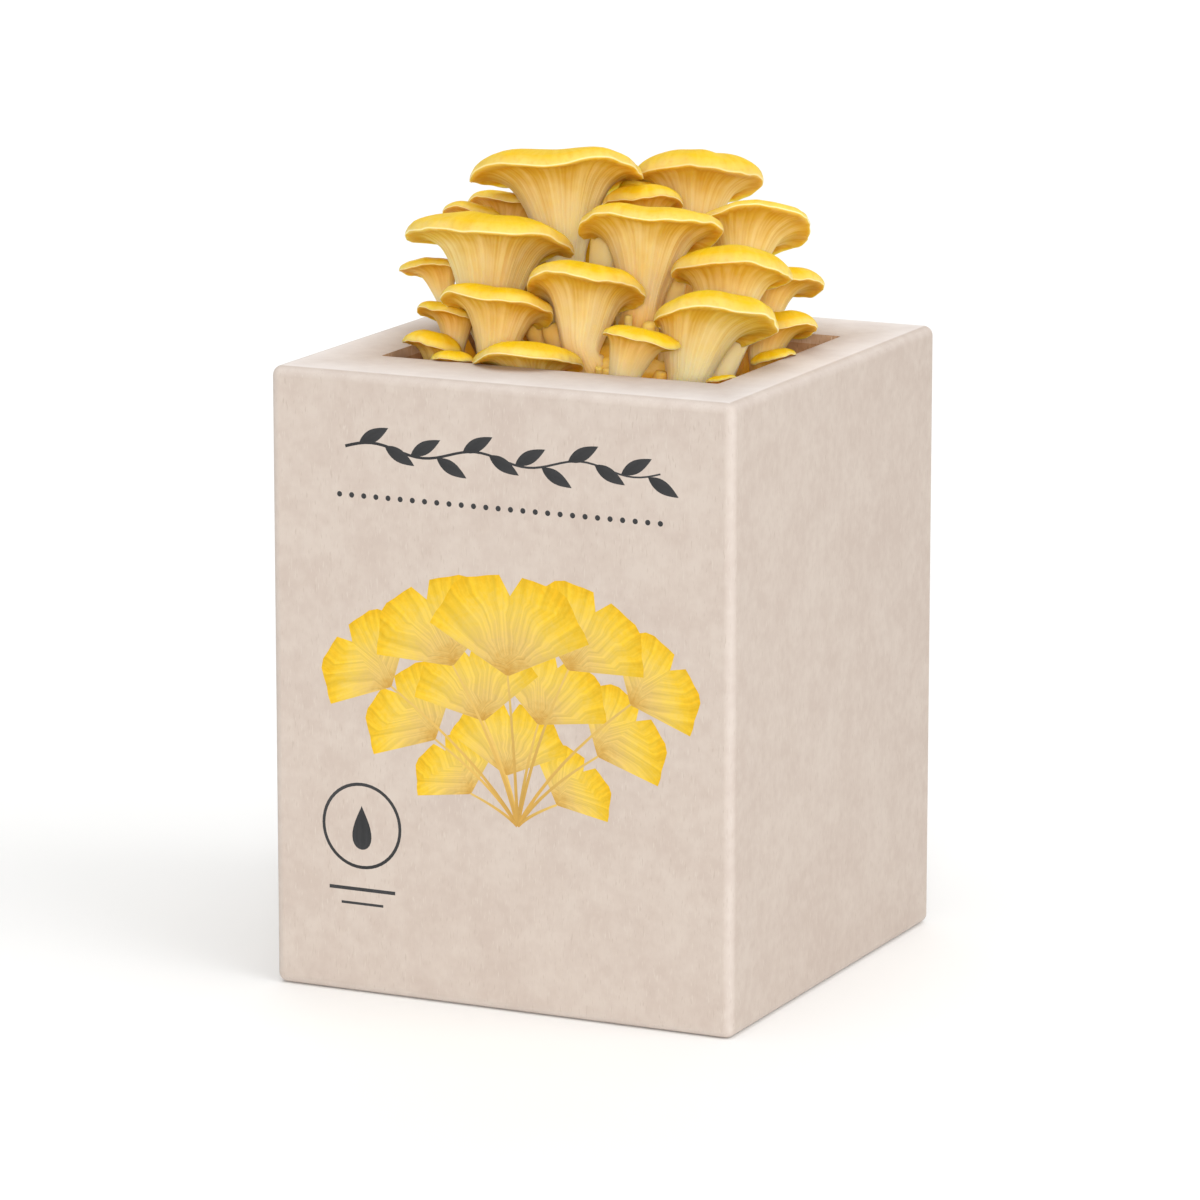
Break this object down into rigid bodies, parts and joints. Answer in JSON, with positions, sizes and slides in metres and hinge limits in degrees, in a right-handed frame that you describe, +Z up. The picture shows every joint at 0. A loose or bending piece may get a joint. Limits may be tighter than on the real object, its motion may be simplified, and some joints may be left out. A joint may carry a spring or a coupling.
{
  "type": "oyster mushroom grow kit",
  "caption": "Square board carton with a cut-out top, filled with a substrate block from which a dense cluster of yellow oyster mushrooms grows.",
  "frame": {"origin": "centre of the carton's underside, on the surface it stands on", "axes": "+Z up; the printed front panel faces -Y; +X to the right as seen from the front"},
  "size_m": [0.15, 0.15, 0.2467],
  "materials": {
    "board": "uncoated recycled paperboard, matt, finely mottled",
    "substrate": "pressed straw and sawdust, damp, rough",
    "mycelium": "fused mushroom tissue, matt",
    "mushroom": "fresh mushroom tissue, matt to silky, slightly translucent"
  },
  "bodies": {
    "root": {"carton": "board", "substrate_block": "substrate", "cluster_base": "mycelium", "mushroom_01": "mushroom", "mushroom_02": "mushroom", "mushroom_03": "mushroom", "mushroom_04": "mushroom", "mushroom_05": "mushroom", "mushroom_06": "mushroom", "mushroom_07": "mushroom", "mushroom_08": "mushroom", "mushroom_09": "mushroom", "mushroom_10": "mushroom", "mushroom_11": "mushroom", "mushroom_12": "mushroom", "mushroom_13": "mushroom", "mushroom_14": "mushroom", "mushroom_15": "mushroom", "mushroom_16": "mushroom", "mushroom_17": "mushroom", "mushroom_18": "mushroom", "mushroom_19": "mushroom", "mushroom_20": "mushroom", "mushroom_21": "mushroom", "mushroom_22": "mushroom", "mushroom_23": "mushroom", "mushroom_24": "mushroom", "mushroom_25": "mushroom", "mushroom_26": "mushroom", "mushroom_27": "mushroom"}
  },
  "joints": []
}
